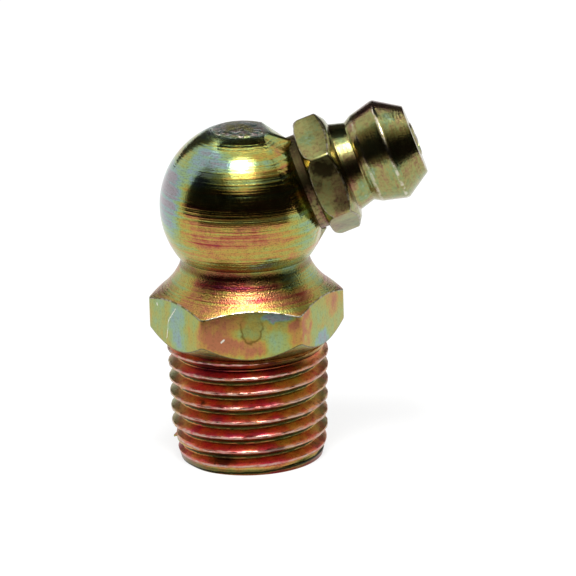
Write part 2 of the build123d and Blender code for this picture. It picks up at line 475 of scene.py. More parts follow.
chamber = [(1.3, 11.006), (1.3, 6.706), (0.8, 6.706), (0.8, 3.0), (0, 3.0)]
nipple = turned_piece("coupler_head", press_fit + collar + small_hex + waist + back_cone + ridge + front_cone
                      + mouth + chamber, columns)
report(nipple)

# %% [markdown]
# The small hex is rounded below, where a form tool ran into it, and chamfered above. Its corners are pulled
# out and its edges worn in the same way as the big hex's.

# %% Give the head its small hex and lay it over
collar_top, head_hex_top, small_rim = 4.75, 6.95, 3.05
form_radius, small_angle = 0.7, radians(28)
corner_rim = head_flats / 2 / cos(pi / 6)


def small_under(radius):
    reach = max(0.0, radius - (corner_rim - form_radius))
    return collar_top + form_radius - sqrt(max(0.0, form_radius ** 2 - reach ** 2))


def small_top(radius):
    return head_hex_top - (radius - small_rim) * tan(small_angle)


pull_hex(nipple, small_low, small_high, head_flats, head_corner, head_turn, small_under, small_top)
add_slots(nipple, 2)
break_hex_edges(nipple, head_flats / 2 - 0.02, small_under, small_top, 0.075)
lay_on_nipple_axis(nipple)
report(nipple)

# %% [markdown]
# ## The check ball
# A hardened 3/32 inch bearing ball closes the mouth from inside. It starts as a UV sphere, and the ring on
# which it seats is rubbed very slightly flat.

# %% Make the check ball
check_radius, check_centre, seat_radius = 1.19, 10.82, 1.0
deselect()
bpy.ops.mesh.primitive_uv_sphere_add(segments=96, ring_count=48, radius=check_radius)
valve_ball = bpy.context.object
valve_ball.name = "valve_ball"
seat_height = sqrt(check_radius ** 2 - seat_radius ** 2)
ring_edges(valve_ball, lambda co: "seat" if abs(co.z - seat_height) < 0.05 else None)
bpy.ops.transform.resize(value=(0.998, 0.998, 1))
bpy.ops.object.mode_set(mode="OBJECT")
for vertex in valve_ball.data.vertices:
    vertex.co.z += check_centre
lay_on_nipple_axis(valve_ball)
report(valve_ball)

# %% [markdown]
# ## The valve spring
# Behind the ball a coil of spring wire sits in the bore. It is one small circle wound up by a Screw modifier.
# A real spring's end turns lie closed against its next ones, so the turns are then spaced out unevenly.

# %% Wind the valve spring
wire_radius, coil_radius = 0.11, 0.82
spring_low, spring_high = 6.826, 9.797     # the wire's centre line, measured along the nipple's axis
spring_turns, closed_pitch = 5, 0.235
spring_length = spring_high - spring_low
even_pitch = spring_length / spring_turns
open_pitch = (spring_length - 2 * closed_pitch) / (spring_turns - 2)


def spring_lift(turn):
    """Height of the wire after so many turns, with one closed turn at each end."""
    opened = min(max(turn - 1, 0.0), spring_turns - 2)
    return closed_pitch * (turn - opened) + open_pitch * opened


deselect()
bpy.ops.mesh.primitive_circle_add(vertices=12, radius=wire_radius, location=(coil_radius, 0, 0),
                                  rotation=(pi / 2, 0, 0))
valve_spring = bpy.context.object
valve_spring.name = "valve_spring"
bpy.ops.object.transform_apply(location=True, rotation=True)
wind_up(valve_spring, even_pitch, spring_turns, 48)
for vertex in valve_spring.data.vertices:
    share = (atan2(vertex.co.y, vertex.co.x) / (2 * pi)) % 1.0
    turn = round(vertex.co.z / even_pitch - share) + share
    vertex.co.z += spring_low + spring_lift(turn) - turn * even_pitch
bpy.ops.object.mode_set(mode="EDIT")
bpy.ops.mesh.select_all(action="SELECT")
bpy.ops.mesh.remove_doubles(threshold=0.001)
bpy.ops.mesh.fill_holes(sides=0)
bpy.ops.mesh.select_all(action="SELECT")
bpy.ops.mesh.normals_make_consistent(inside=False)
bpy.ops.object.mode_set(mode="OBJECT")
lay_on_nipple_axis(valve_spring)
report(valve_spring)

# %% [markdown]
# ## One surface, several makings
# The plated steel was cut in different ways: the flats are drawn bar, the thread was cut with a die, and the
# rest was turned. Each gets its own material slot, and the faces are sorted by their place and normal.

# %% Sort the faces by how they were made
flat_slot, thread_slot, collar_slot = 2, 3, 3
upright = 0.03                  # how far a flat's normal may lean
for piece in (body, nipple):
    add_slots(piece, 4)


def sort_faces(piece, slot_number, test):
    """Gives a slot to every face that passes a test on its middle and its normal."""
    chosen = [face for face in piece.data.polygons
              if face.material_index != worn_slot and test(face.center, face.normal)]
    for face in chosen:
        face.material_index = slot_number
    print(piece.name, len(chosen), "faces in slot", slot_number)


def up_nipple(co):
    """Distance along the nipple's axis."""
    return (co - Vector((0, 0, crossing))).dot(nipple_axis)


sort_faces(body, flat_slot, lambda co, normal: abs(normal.z) < upright and flat_low < co.z < flat_high + 0.1
           and hypot(co.x, co.y) > apothem - 0.01)
sort_faces(body, thread_slot, lambda co, normal: co.z < 7.82 and hypot(co.x, co.y) > 4.2 and normal.z > -0.99)
sort_faces(nipple, flat_slot, lambda co, normal: abs(normal.dot(nipple_axis)) < upright
           and collar_top + 0.1 < up_nipple(co) < small_high + 0.1)
sort_faces(nipple, collar_slot, lambda co, normal: up_nipple(co) < collar_top + 0.05)

# %% [markdown]
# ## Finishing the pieces
# Each piece is now scaled to metres, with its place kept in its mesh. Smooth shading stops at edges sharper
# than 24 degrees, so the flats stay flat and the bevels stay crisp. The spring shortens from its foot when
# grease pushes the ball back, so it is given a mesh of its own.

# %% Scale, shade and hand the pieces to the frame
def finish_piece(piece, body_name, node_name):
    """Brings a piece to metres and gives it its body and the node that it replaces."""
    choose(piece)
    piece.scale = (MM, MM, MM)
    bpy.ops.object.transform_apply(location=True, rotation=True, scale=True)
    bpy.ops.object.shade_smooth_by_angle(angle=radians(24))
    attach(piece, body_name)
    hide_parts(node_name)
    report(piece)


finish_piece(body, "fitting", "angle_body")
finish_piece(nipple, "fitting", "nipple_head")
finish_piece(valve_ball, "valve", "check_ball")
finish_piece(valve_spring, "fitting", "check_spring")
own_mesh(valve_spring)

# %% [markdown]
# ## The camera
# The camera stands 40 cm away and a little above the fitting, behind a long lens, so that the hex keeps its
# true shape. Its three axes are worked out from its place, its target and a small roll, and are set as one
# matrix, because that needs no constraint.

# %% Place the camera
camera_place = Vector((-0.016819, -0.380980, 0.131803))
camera_target = Vector((0.002740, -0.000141, 0.011058))
level_right = Vector((0.99868, -0.05129, 0.0))
roll = radians(-1.615)
ahead = (camera_target - camera_place).normalized()
level_up = level_right.cross(ahead)
right = cos(roll) * level_right + sin(roll) * level_up
up = -sin(roll) * level_right + cos(roll) * level_up
camera = bpy.data.objects.new("camera", bpy.data.cameras.new("camera"))
camera.data.lens = 387.75
camera.data.sensor_width = 36
camera.data.shift_x, camera.data.shift_y = -0.0011, 0.0008
camera.data.clip_start, camera.data.clip_end = 0.01, 10
camera.matrix_world = Matrix.Translation(camera_place) @ Matrix((right, up, -ahead)).transposed().to_4x4()
scene = bpy.context.scene
scene.collection.objects.link(camera)
scene.camera = camera
print("camera", round((camera_target - camera_place).length, 3), "m from the fitting")

# %% [markdown]
# ## Colours and nodes
# Colours are written as sRGB hex values and turned to the linear values that Blender works in. One function
# adds a node with its settings and links, so that each material below reads as a list of what it is made of.
# Another one closes a metal, because every metal here ends in the same three nodes.

# %% Helpers for materials
def linear(hex_colour):
    """A linear colour from an sRGB hex value."""
    parts = [int(hex_colour[i:i + 2], 16) / 255 for i in (1, 3, 5)]
    return [p / 12.92 if p <= 0.04045 else ((p + 0.055) / 1.055) ** 2.4 for p in parts] + [1.0]


def begin_tree(owner):
    """Empties the node tree of a material or a world, and keeps it as the one to which nodes are added."""
    global tree
    owner.use_nodes = True
    tree = owner.node_tree
    tree.nodes.clear()


def add_node(kind, *inputs, stops=(), **settings):
    """Adds a node such as "TexNoise" or "Math ADD", its settings and the (position, colour) stops of a ramp.

    Its inputs are linked or set in the node's own order, or by name where they come in a dict.
    """
    kind, _, operation = kind.partition(" ")
    made = tree.nodes.new("ShaderNode" + kind)
    if operation:
        made.operation = operation
    for name, value in settings.items():
        setattr(made, name, value)
    named = inputs[0] if inputs and isinstance(inputs[0], dict) else dict(enumerate(inputs))
    for name, value in named.items():
        socket = made.inputs[name]
        if isinstance(value, bpy.types.NodeSocket):
            tree.links.new(value, socket)
        elif isinstance(value, bpy.types.Node):
            tree.links.new(value.outputs[0], socket)
        else:
            socket.default_value = linear(value) if isinstance(value, str) else value
    if stops:
        marks = made.color_ramp.elements
        marks.remove(marks[1])
        marks[0].position, marks[0].color = stops[0]
        for position, colour in stops[1:]:
            marks.new(position).color = colour
    return made


def new_material(name):
    """Begins a material, to whose tree add_node then adds."""
    made = bpy.data.materials.new(name)
    begin_tree(made)
    return made


def close_metal(made, colour, roughness, relief=None, depth=0.0):
    """Ends a metal with its shader and, where it has one, a relief so many metres deep."""
    inputs = {"Base Color": colour, "Metallic": 1.0, "Roughness": roughness}
    if relief is not None:
        inputs["Normal"] = add_node("Bump", {"Height": relief, "Strength": 1.0, "Distance": depth})
    add_node("OutputMaterial", add_node("BsdfPrincipled", inputs))
    print(made.name, len(tree.nodes), "nodes")


# %% [markdown]
# ## Yellow chromate
# Chromate is a clear film a few hundred nanometres thick on bright zinc. Its colour comes from interference,
# so it follows one scale: as the film thickens the steel goes from grey through blue, green and gold to red
# and purple. Each material therefore works out one number, the film's thickness, and a ramp turns it into a
# colour. Noise unsettles that number, by grains whose width is given in millimetres.

# %% The film's colour scale and its grain
film_scale = [
    (0.00, "#958E93"), (0.12, "#86A0A0"), (0.25, "#8CA880"), (0.38, "#98A662"), (0.50, "#AA9D4C"),
    (0.60, "#B48A4A"), (0.70, "#AC6E4E"), (0.80, "#963E30"), (0.90, "#8E3348"), (1.00, "#522038"),
]


def film_colour(film, scale=film_scale):
    """The colour of the film, from its thickness."""
    return add_node("ValToRGB", film, stops=[(place, linear(colour)) for place, colour in scale])


def part_place():
    """Object coordinates in millimetres."""
    coords = add_node("TexCoord")
    return add_node("Mapping", {"Vector": coords.outputs["Object"], "Scale": [1 / MM] * 3})


def grain(place, width, stretch=(1, 1, 1), detail=3.0):
    """Noise whose spots are about as wide as given, in millimetres, drawn out by the stretch."""
    drawn = add_node("Mapping", {"Vector": place, "Scale": [1 / (width * s) for s in stretch]})
    return add_node("TexNoise", {"Vector": drawn, "Scale": 1.0, "Detail": detail, "Roughness": 0.6})


def spread(source, low, high, least=0.0, most=1.0, **settings):
    """A value between low and high, spread over a range of its own."""
    return add_node("MapRange", source, low, high, least, most, **settings)


def change(film, source, amount):
    """The film with a noise added to it, from minus to plus the amount."""
    return add_node("Math ADD", film, spread(source, 0.3, 0.7, -amount, amount))


print("film colours:", len(film_scale))

# %% [markdown]
# Drips, handling and thin spots are patches that add to the film or take from it. A patch is a soft ball of
# influence round a point on the skin. Its edge would be too even, so the place it reads is moved about first.

# %% Patches on the film
def reached(place, centre, reach):
    """Distance from a centre, as a share of the reach in each direction."""
    away = add_node("Mapping", {"Vector": place, "Location": [-c / r for c, r in zip(centre, reach)],
                                "Scale": [1 / r for r in reach]})
    return add_node("VectorMath LENGTH", away).outputs["Value"]


def patches(film, place, spots):
    """The film with soft spots added: each is (centre, reach in each direction, amount), in millimetres."""
    for centre, reach, amount in spots:
        spot = spread(reached(place, centre, reach), 0.35, 1.0, amount, 0.0, interpolation_type="SMOOTHSTEP")
        film = add_node("Math ADD", film, spot)
    return film


def wavering(place, amount, width):
    """The place moved about a little, which gives patches uneven outlines."""
    wave = add_node("TexNoise", {"Vector": place, "Scale": 1 / width, "Detail": 3.0})
    off = add_node("VectorMath SUBTRACT", wave.outputs["Color"], (0.5, 0.5, 0.5))
    off = add_node("VectorMath SCALE", {0: off, "Scale": amount})
    return add_node("VectorMath ADD", place, off)


# %% [markdown]
# Other things follow the height up the shank, or the turn of the thread. They are read off a profile, as a
# turner reads a template. Below its first stop and above its last one, a profile keeps their values.

# %% Profiles
full_height = 24                # mm, a little more than the fitting's, because a ramp runs from 0 to 1


def profile(source, stops):
    """A value that follows another from 0 to 1, by (place, value) stops."""
    return add_node("ValToRGB", source, stops=[(place, [value] * 3 + [1]) for place, value in stops])


def height_curve(place, stops):
    """A value that follows the height up the shank, from (height in mm, value) stops."""
    parts = add_node("SeparateXYZ", place)
    share = add_node("Math MULTIPLY", parts.outputs["Z"], 1 / full_height)
    return profile(share, [(height / full_height, value) for height, value in stops])


# %% [markdown]
# Three marks come from use and from the bath: a dried drip with its dark rim, a scratch down to bare metal,
# and fine pits where the film is darker.

# %% Stains, scratches and specks
def stained(colour, place, centre, reach, edge):
    """A dried drip: a spot with a darker edge, about as far from its centre as given in each direction."""
    rim = profile(reached(place, centre, reach),
                  [(0.0, 0.22), (0.74, 0.25), (0.86, 0.85), (0.93, 0.4), (1.0, 0.0)])
    low = height_curve(place, [(centre[2] - 0.2, 1.0), (centre[2] + 0.7, 0.15)])
    share = add_node("Math MULTIPLY", rim, low)
    return add_node("MixRGB", share, colour, edge)


def scratched(colour, place, start, end, width, bare):
    """A scratch from one point to another, as wide as given, in millimetres."""
    run = Vector(end) - Vector(start)
    away = add_node("VectorMath SUBTRACT", place, start)
    along = add_node("VectorMath DOT_PRODUCT", away, run / run.length_squared)
    share = add_node("Clamp", along.outputs["Value"])
    foot = add_node("VectorMath SCALE", {0: run, "Scale": share})
    gap = add_node("VectorMath DISTANCE", away, foot).outputs["Value"]
    near = spread(gap, width * 0.5, width * 0.2)
    return add_node("MixRGB", near, colour, bare)


def speckled(colour, place, width, dark, strength):
    """Fine darker specks, where the film is pitted."""
    share = spread(grain(place, width, detail=2.0), 0.5, 0.68, 0.0, strength)
    return add_node("MixRGB", share, colour, dark)


# %% [markdown]
# ## Turned, zinc plated steel
# The ball, the flare and the chamfers were turned and then plated bright, so they mirror the room, and their
# film runs through most of its colours. The tool's feed left rings. Real ones are about 0.05 mm apart; here
# the fine ones are 0.13 mm wide, as coarse as they need to be to show. On the end face they run round the
# middle, so there the radius takes the place of the height.

# %% The lathe's rings in the film
turned = new_material("turned_chromated_zinc")
place = part_place()
loose = wavering(place, 1.4, 1.6)
film = height_curve(loose, [(0, 0.66), (7.2, 0.56), (8.2, 0.45), (11.2, 0.64), (12.2, 0.62), (13.3, 0.62),
                            (13.7, 0.50), (15.5, 0.54), (17, 0.56), (19, 0.47), (21.5, 0.43), (22.2, 0.1)])
film = change(film, grain(place, 2.2), 0.07)
film = change(film, grain(place, 0.5), 0.06)
parts = add_node("SeparateXYZ", place).outputs
flat = add_node("CombineXYZ", parts["X"], parts["Y"])
radius = add_node("VectorMath LENGTH", flat).outputs["Value"]
faced = add_node("Math LESS_THAN", parts["Z"], 0.01)
along = add_node("Math MULTIPLY_ADD", radius, faced, parts["Z"])
lathed = add_node("CombineXYZ", parts["X"], parts["Y"], along)
ring_width = 0.13               # mm
rings = grain(lathed, ring_width, (60, 60, 1), 1.0)
broad_rings = grain(lathed, 0.4, (30, 30, 1), 2.0)
film = change(film, rings, 0.11)
film = change(film, broad_rings, 0.09)
print(turned.name, "rings", ring_width, "mm wide")

# %% [markdown]
# The film hung in drips as the piece dried. It is thin and silvery on the left of the ball, thick and red at
# the waist, and greenish where the flare faces sideways.

# %% Drips on the turned skin
film = patches(film, loose, [
    ((-4.9, -1.2, 18.0), (1.8, 3.4, 3.6), -0.54),
    ((-4.2, -2.6, 15.8), (1.4, 2.2, 2.2), -0.10),
    ((-2.6, -3.0, 20.3), (2.4, 2.4, 1.9), -0.36),
    ((3.9, -3.6, 15.8), (1.6, 2.2, 2.4), -0.16),
    ((-1.6, -4.9, 15.4), (2.4, 2.0, 1.3), 0.08),
    ((0.2, -5.3, 16.4), (3.0, 2.0, 0.8), 0.12),
    ((2.3, -2.8, 20.8), (0.9, 1.2, 0.9), 0.12),
    ((1.4, -4.5, 14.1), (1.6, 1.4, 0.45), -0.30),
    ((-2.9, -4.2, 11.7), (1.4, 1.4, 0.6), -0.12),
    ((-1.8, -4.3, 13.1), (2.8, 1.8, 0.8), 0.17),
    ((0.2, -4.7, 12.3), (2.4, 1.8, 0.9), 0.10),
    ((-2.6, -3.9, 12.2), (1.8, 1.8, 1.2), 0.06),
    ((2.9, -3.8, 12.9), (1.6, 2.2, 1.2), -0.22),
    ((4.4, -2.0, 12.2), (1.4, 2.6, 1.6), -0.20),
    ((-4.4, -1.7, 12.4), (1.6, 2.2, 1.8), -0.22),
])

# %% [markdown]
# The nub was broken off and not turned, so it is rough, dull and paler. The waist under the ball is darkened by
# painted shade. The relief is the rings and a grain of 0.1 mm, coarser than real plating, so that it shows. It
# makes the flare sparkle and leaves the ball nearly smooth.

# %% The nub, the relief and the shine of the turned skin
nub = height_curve(place, [(21.74, 0.0), (21.87, 1.0)])
rough_nub = spread(grain(place, 0.3), 0.4, 0.6)
nub_spots = spread(grain(place, 0.7), 0.45, 0.6)
nub_colour = add_node("MixRGB", rough_nub, "#6A847E", "#AA9694")
nub_colour = add_node("MixRGB", nub_spots, nub_colour, "#7E7A50")
colour = speckled(film_colour(film), place, 0.09, "#4A4426", 0.5)
colour = add_node("MixRGB", nub, colour, nub_colour)
# Painted shade: the colour is halved in the waist under the ball.
groove = height_curve(place, [(12.8, 1.0), (13.05, 0.5), (13.4, 0.5), (13.55, 1.0)])
colour = add_node("MixRGB", 1.0, colour, groove, blend_type="MULTIPLY")
sparkle = height_curve(place, [(13.2, 1.5), (13.9, 1.0), (15, 0.3)])
relief = add_node("Math ADD", rings, broad_rings)
relief = add_node("Math MULTIPLY_ADD", grain(place, 0.1, detail=1.0), sparkle, relief)
pits = add_node("Math MULTIPLY", nub, rough_nub)
relief = add_node("Math MULTIPLY_ADD", pits, 4.0, relief)
gloss = height_curve(place, [(8, 0.3), (13.2, 0.28), (13.9, 0.24), (15, 0.15), (21.5, 0.15), (22, 0.35)])
close_metal(turned, colour, change(gloss, grain(place, 0.9), 0.04), relief, 16e-6)

# %% [markdown]
# ## Drawn bar
# The flats of the big hex are the skin of the drawn bar, plated over. They are flat and satin, so they show
# the film's green and gold evenly, with faint streaks up the bar.

# %% The film on the hex's flats
drawn = new_material("drawn_chromated_zinc")
place = part_place()
loose = wavering(place, 1.1, 0.9)
film = spread(grain(place, 2.6), 0.3, 0.7, 0.34, 0.56)
film = change(film, grain(place, 0.8), 0.07)
film = change(film, grain(place, 0.22, (1, 1, 6)), 0.05)
film = patches(film, loose, [
    ((-2.3, -5.5, 9.8), (1.7, 1.2, 2.0), 0.22),
    ((2.9, -5.5, 9.7), (1.0, 1.2, 1.6), 0.22),
    ((-0.6, -5.5, 8.9), (2.6, 1.0, 0.9), 0.18),
    ((-0.9, -5.5, 10.6), (0.8, 1.0, 0.7), 0.12),
    ((1.65, -5.5, 10.85), (1.5, 1.0, 0.4), -0.46),
    ((1.5, -5.5, 9.3), (0.8, 1.0, 0.9), -0.08),
    ((-4.6, -3.0, 9.7), (1.1, 1.5, 2.4), -0.30),
    ((-5.6, -1.2, 9.8), (1.2, 1.2, 2.4), -0.08),
    ((3.4, -4.4, 9.8), (0.7, 1.2, 2.4), 0.28),
    ((4.7, -2.9, 8.5), (0.9, 1.2, 0.9), -0.40),
    ((5.5, -1.5, 10.4), (1.0, 1.4, 1.2), 0.16),
])
film = add_node("Math MINIMUM", film, 0.70)

# %% [markdown]
# The front flat has a dried drip of the bath with a brown rim, and the left one two fine scratches from a
# spanner. A real scratch is about 0.05 mm wide, and these are drawn twice as wide, so that they show.

# %% The marks on the flats
colour = speckled(film_colour(film), place, 0.14, "#5C5234", 0.3)
colour = stained(colour, wavering(place, 0.5, 0.6), (0.0, -5.5, 10.2), (0.8, 1.5, 1.15), "#5E4A1E")
scratches = [((-4.68, -2.9, 10.9), (-5.13, -2.12, 9.9), 0.09), ((-5.13, -2.12, 9.9), (-5.29, -1.84, 8.6), 0.09),
             ((-1.95, -5.5, 9.32), (-1.7, -5.5, 9.5), 0.1), ((-5.8, -0.95, 10.7), (-5.74, -1.0, 10.6), 0.14)]
for start, end, width in scratches:
    colour = scratched(colour, wavering(place, 0.25, 0.3), start, end, width, "#E2DED0")
relief = add_node("Math ADD", grain(place, 0.35), grain(place, 0.12, detail=1.0))
close_metal(drawn, colour, 0.3, relief, 6e-6)

# %% [markdown]
# ## Cut thread
# The die left the thread's sides rougher, so the film there is thicker: copper and red, with green where it
# drained. Its colours follow the tooth. The material therefore works out how far round the pitch each point
# lies, as the die did: its height less its share of a turn, in pitches of 1 mm.

# %% How far round the pitch a point lies
cut = new_material("cut_thread_chromated_zinc")
place = part_place()
loose = wavering(place, 0.16, 0.5)
parts = add_node("SeparateXYZ", loose).outputs
turn = add_node("Math ARCTAN2", parts["Y"], parts["X"])
lift = add_node("Math MULTIPLY", turn, 1 / (2 * pi))
lift = add_node("Math SUBTRACT", parts["Z"], lift)
lift = add_node("Math SUBTRACT", lift, crest_start)
phase = add_node("Math FRACT", lift)
print(cut.name, "follows a crest at", crest_start, "mm")

# %% [markdown]
# The upper side of a tooth is copper and red, the lower side gold, and the root between them, with a thin line
# under each crest, is darkened by painted shade.

# %% The film along the tooth
thread_scale = [
    (0.00, "#A0AA7A"), (0.25, "#9AA052"), (0.42, "#B6A258"), (0.56, "#D09052"), (0.72, "#C65E42"),
    (0.84, "#BC3A50"), (1.00, "#803058"),
]
film = profile(phase, [(0.0, 0.76), (0.1, 0.78), (0.38, 0.72), (0.44, 0.56), (0.48, 0.30), (0.62, 0.45),
                       (0.85, 0.50), (1.0, 0.76)])
film = change(film, grain(place, 1.8), 0.13)
film = change(film, grain(place, 0.3, (3, 3, 1)), 0.08)
film = patches(film, loose, [
    ((-5.4, -0.4, 4.0), (1.8, 4.0, 6.0), -0.17),
    ((-5.6, 0.3, 4.0), (1.3, 3.4, 7.0), -0.28),
    ((5.4, -0.8, 4.0), (2.4, 4.0, 6.0), -0.22),
    ((3.2, -4.1, 4.0), (2.2, 2.2, 6.0), -0.14),
    ((-1.4, -4.9, 3.0), (2.2, 2.0, 4.0), 0.06),
    ((-3.0, -4.0, 7.2), (2.6, 2.2, 0.9), 0.14),
    ((0, 5.0, 4.0), (5.0, 3.0, 5.0), -0.15),
])
colour = speckled(film_colour(film, thread_scale), place, 0.12, "#3A2018", 0.4)
# Painted shade: dark at the root and in a thin line just under each crest.
shade = profile(phase, [(0.43, 1.0), (0.46, 0.4), (0.49, 0.11), (0.58, 0.13), (0.62, 0.9),
                        (0.9, 1.0), (0.935, 0.2), (0.96, 1.0)])
colour = add_node("MixRGB", 1.0, colour, shade, blend_type="MULTIPLY")

# %% [markdown]
# The crests are rubbed pale and pinkish in patches. Dark grease sits in a few tears and under the hex, and the
# lead-in chamfer at the bottom is darkened in two bands by painted shade.

# %% Rubbed crests, smudges and painted shade
rubbed = profile(phase, [(0.0, 1.0), (0.07, 0.9), (0.13, 0.0), (0.93, 0.0), (0.96, 1.0)])
patchy = spread(grain(place, 0.5), 0.4, 0.56, 0.35, 0.95)
rubbed = add_node("Math MULTIPLY", rubbed, patchy)
colour = add_node("MixRGB", rubbed, colour, "#C2A294")
# Painted shade: two dark bands on the lead-in chamfer at the bottom.
painted_end_shade = height_curve(place, [(0, 0.55), (0.12, 0.16), (0.22, 0.5), (0.34, 0.16), (0.48, 1.0)])
colour = add_node("MixRGB", 1.0, colour, painted_end_shade, blend_type="MULTIPLY")
smudge = spread(grain(place, 0.4, (2, 2, 1)), 0.58, 0.7, 0.0, 0.35)
smudge = patches(smudge, wavering(place, 0.5, 0.4), [
    ((-2.2, -4.4, 0.95), (1.4, 1.2, 0.42), 0.9),
    ((-4.9, -0.8, 7.3), (0.6, 0.8, 0.35), 0.8),
    ((-3.2, -3.8, 4.95), (0.4, 0.6, 0.3), 0.9),
    ((4.3, -2.4, 1.3), (0.6, 0.8, 0.45), 0.8),
    ((1.4, -4.8, 1.7), (1.0, 0.8, 0.25), 0.6),
    ((4.4, -2.3, 3.7), (0.5, 0.7, 0.45), 0.6),
])
smudge = add_node("Math MINIMUM", smudge, 0.85)
colour = add_node("MixRGB", smudge, colour, "#2A201A")
relief = add_node("Math ADD", grain(place, 0.3, (3, 3, 1)), grain(place, 0.1))
close_metal(cut, colour, 0.32, relief, 8e-6)

# %% [markdown]
# ## Worn edges and a painted highlight
# Where pieces knocked together in the barrel, the film has gone from the edges and the zinc shows bare. The
# broken pale line is also a painted highlight: it is made stronger with height and towards the front of the big
# hex, and is strongest on its upper front edge.

# %% Bare zinc on worn edges, with a painted highlight
worn_edge_and_painted_highlight = new_material("worn_zinc_edge_and_painted_highlight")
place = part_place()
bare = spread(grain(place, 0.35), 0.42, 0.58)
# Painted highlight: the bare share grows with height and towards the front of the big hex's upper edge.
high = height_curve(place, [(9.2, 0.25), (10.2, 1.0)])
front = patches(0.4, place, [((0.8, -5.5, 11.2), (4.4, 1.6, 2.0), 0.6)])
for share in (high, front):
    bare = add_node("Math MULTIPLY", bare, share)
colour = add_node("MixRGB", bare, "#6A6136", "#CFC9B8")
close_metal(worn_edge_and_painted_highlight, colour, 0.28, grain(place, 0.2), 20e-6)

# %% [markdown]
# ## Olive chromate
# The coupler head was plated in another bath. Its film is duller and greyer, an olive brown, and it is handled
# more, so its ridges are rubbed pale and dirt sits round its small hex. Its three makings, turned, drawn and
# parted off, share one recipe and differ in grain, shine and darkening: dirt on the turned skin and the flats,
# and painted shade on the collar between the ball and the small hex. The rings follow the nipple's own axis, so
# a Mapping node lays the pattern over as the piece was laid.

# %% Olive chromate on the coupler head
olive_scale = [
    (0.00, "#96A28C"), (0.20, "#7F9264"), (0.38, "#94945C"), (0.50, "#988D5A"), (0.62, "#937D56"),
    (0.75, "#8E6852"), (0.88, "#7C4A40"), (1.00, "#54352F"),
]
ridge_stops = [(8.36, 0.0), (8.5, 0.8), (8.6, 0.0), (9.96, 0.0), (10.02, 0.75), (10.12, 0.75), (10.2, 0.0),
               (11.72, 0.0), (11.78, 0.9), (11.84, 0.0)]


def olive_chromate(name, spot_width, base, roughness, ring_height, dirt_and_shade, marks, dark_marks):
    """Olive film about so thick (base), with spots, rings, darkening (dirt, and on the collar painted shade),
    and patches of both.
    """
    made = new_material(name)
    place = part_place()
    laid = add_node("Mapping", {"Vector": place, "Location": (0, 0, -crossing)})
    along = add_node("Mapping", {"Vector": laid, "Rotation": (0, -(pi / 2 - rise), 0)})
    film = spread(grain(place, 1.5), 0.3, 0.7, base - 0.18, base + 0.18)
    film = change(film, grain(place, spot_width), 0.10)
    film = change(film, grain(place, 0.14), 0.12)
    rings = grain(along, ring_width, (30, 30, 1), 1.0)
    film = change(film, rings, 0.10 * ring_height)
    loose = wavering(place, 0.7, 0.6)
    colour = film_colour(patches(film, loose, marks), olive_scale)
    # Darkening: dirt, and on the collar painted shade.
    share = spread(grain(place, 0.28, detail=5.0), 0.46, 0.75, 0.0, dirt_and_shade)
    share = patches(share, loose, dark_marks)
    share = add_node("Math MINIMUM", share, 0.92)
    colour = add_node("MixRGB", share, colour, "#2C2616")
    ridge = height_curve(along, ridge_stops)
    share = add_node("Math MULTIPLY", spread(grain(place, 0.3), 0.4, 0.6), ridge)
    colour = add_node("MixRGB", share, colour, "#D2CCBA")
    relief = add_node("Math MULTIPLY_ADD", rings, ring_height, grain(place, 0.18))
    close_metal(made, colour, roughness, relief, 11e-6)
    return made


olive_turned = olive_chromate(
    "turned_olive_chromated_zinc", 0.6, 0.44, 0.19, 1.0, 0.4,
    [((7.5, -2.5, 18.0), (0.7, 1.5, 1.1), -0.24), ((6.9, -2.9, 18.6), (0.45, 1.2, 1.0), 0.2),
     ((8.1, -2.9, 19.0), (0.5, 1.5, 1.3), -0.2), ((8.6, 0.0, 22.9), (3.2, 1.5, 0.9), 0.34),
     ((9.2, -1.7, 22.6), (0.9, 0.8, 0.7), -0.12)],
    [((9.3, -2.9, 21.2), (1.0, 1.2, 0.8), 0.3)])
olive_flats = olive_chromate(
    "drawn_olive_chromated_zinc", 0.5, 0.46, 0.33, 0.0, 0.5,
    [((4.1, -1.6, 21.4), (0.8, 1.0, 0.9), -0.14), ((6.0, -3.5, 17.6), (0.9, 0.8, 0.9), 0.14)],
    [((5.0, -3.5, 20.0), (1.3, 0.9, 0.75), 0.95), ((4.6, -3.5, 18.9), (0.5, 0.8, 0.9), 0.4),
     ((6.1, -3.5, 17.7), (0.8, 0.8, 0.8), 0.35), ((6.8, -1.6, 15.8), (1.6, 2.0, 1.0), 0.3)])
# Painted shade: the collar is darkened where it lies between the ball and the small hex.
olive_collar = olive_chromate(
    "parted_olive_chromated_zinc_painted_shade", 0.3, 0.60, 0.42, 1.0, 0.8, [((4.6, -3.0, 18.0), (1.5, 2.0, 3.0), 0.05)],
    [((4.4, -3.0, 19.0), (2.0, 3.0, 3.0), 0.5), ((3.3, -2.0, 20.2), (2.0, 3.0, 2.6), 0.8)])

# %% [markdown]
# ## Steel without plating
# The check ball is hardened bearing steel, polished to a mirror that grease has scuffed a little. The spring
# is drawn music wire, grey and half bright. Both are plain metals with one noise each.

# %% Bearing steel and spring wire
ball_steel = new_material("polished_bearing_steel")
scuff = add_node("MapRange", {"Value": grain(part_place(), 0.3), "To Min": 0.08, "To Max": 0.3})
close_metal(ball_steel, "#8F8878", scuff)
wire = new_material("drawn_spring_wire")
tint = add_node("MixRGB", grain(part_place(), 0.2), "#77767A", "#A9A8A4")
close_metal(wire, tint, 0.3)

# %% [markdown]
# The stand-ins in the material slots now give way to the finishes, in the order in which faces were sorted.

